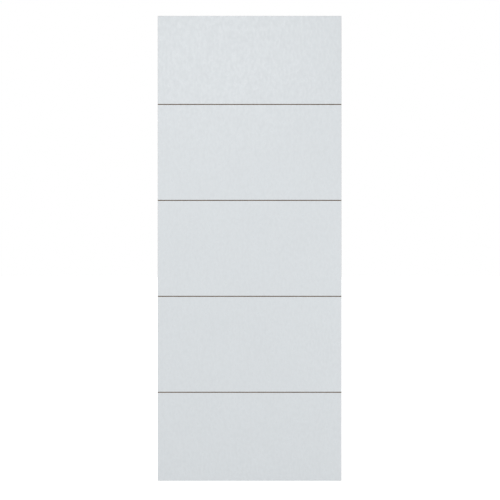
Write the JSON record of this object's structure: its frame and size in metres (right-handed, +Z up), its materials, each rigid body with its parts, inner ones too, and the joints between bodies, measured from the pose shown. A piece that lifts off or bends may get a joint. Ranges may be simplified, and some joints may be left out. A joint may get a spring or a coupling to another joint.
{
  "type": "flush door leaf with horizontal grooves",
  "caption": "Flush interior door leaf, white primed MDF faces with thin horizontal grooves over a softwood frame; hung by its hinge edge to close a doorway.",
  "frame": {"origin": "foot of the hinge edge, at mid-thickness of the leaf", "axes": "+X across the leaf from the hinge edge to the lock edge, +Z up, front face towards -Y"},
  "size_m": [0.83, 0.04, 2.1],
  "materials": {
    "primed_mdf": "satin",
    "softwood": "matte",
    "particleboard": "matte"
  },
  "bodies": {
    "root": {"front_skin": "primed_mdf", "back_skin": "primed_mdf", "hinge_stile": "softwood", "lock_stile": "softwood", "top_rail": "softwood", "bottom_rail": "softwood", "core": "particleboard"}
  },
  "joints": []
}
